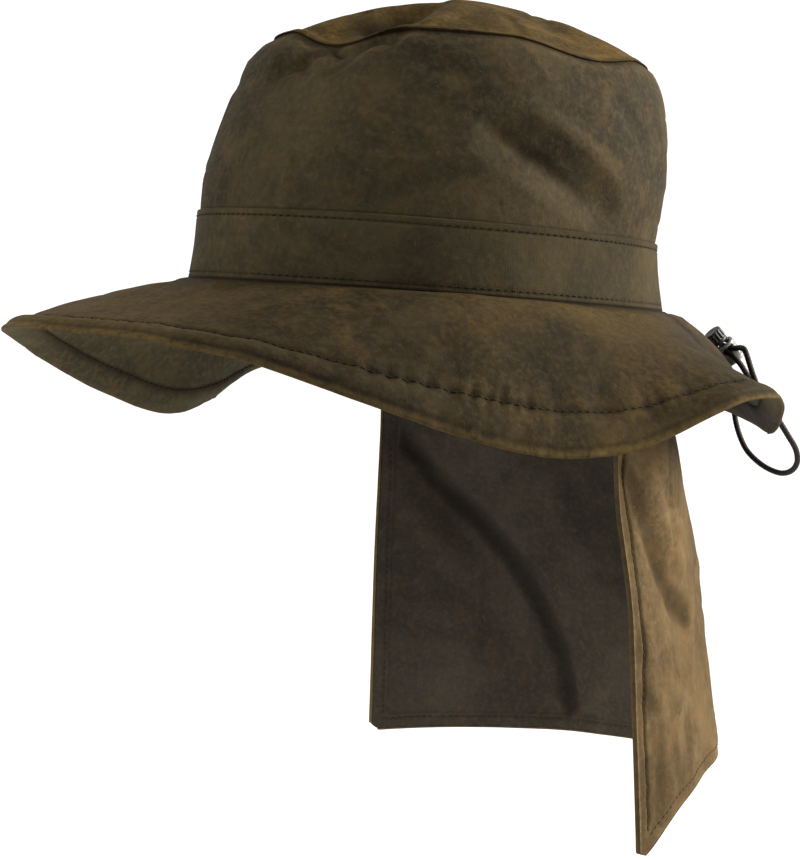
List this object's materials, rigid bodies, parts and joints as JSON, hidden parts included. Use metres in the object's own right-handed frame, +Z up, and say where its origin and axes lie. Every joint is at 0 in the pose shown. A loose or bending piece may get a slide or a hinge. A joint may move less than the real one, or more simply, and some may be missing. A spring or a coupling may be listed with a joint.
{
  "type": "waxed canvas hat with neck flap",
  "caption": "Soft bucket crown with a flat band, a wide two-layer brim with a cord run in its hem, a hanging flap for the neck and a cord lock at the back.",
  "frame": {"origin": "middle of the head opening, on the seam between crown and brim, where the hat sits on a head", "axes": "+Z up through the crown, -Y to the front of the hat, +X to the wearer's left"},
  "size_m": [0.298, 0.3328, 0.3325],
  "materials": {
    "waxed_canvas": "waxed cotton canvas, satin, rubbed unevenly",
    "waxed_canvas_light": "waxed cotton canvas, lighter and worn",
    "cord": "tight round braid, matte",
    "lock_barrel": "moulded plastic, glossy dark grey",
    "lock_button": "moulded plastic, ribbed and satin black"
  },
  "bodies": {
    "hat": {"crown_tip": "waxed_canvas", "crown_wall": "waxed_canvas", "hat_band": "waxed_canvas", "brim_top": "waxed_canvas", "brim_under": "waxed_canvas", "neck_flap": "waxed_canvas_light", "drawcord_run": "cord", "drawcord_loop": "cord", "cord_lock_body": "lock_barrel"},
    "button": {"cord_lock_button": "lock_button"}
  },
  "joints": [
    {"name": "button_press", "type": "slide", "parent": "hat", "child": "button", "axis": [0.287, 0.6625, -0.6919], "range_m": [0, 0.0025], "stiffness_N_per_m": 200}
  ]
}
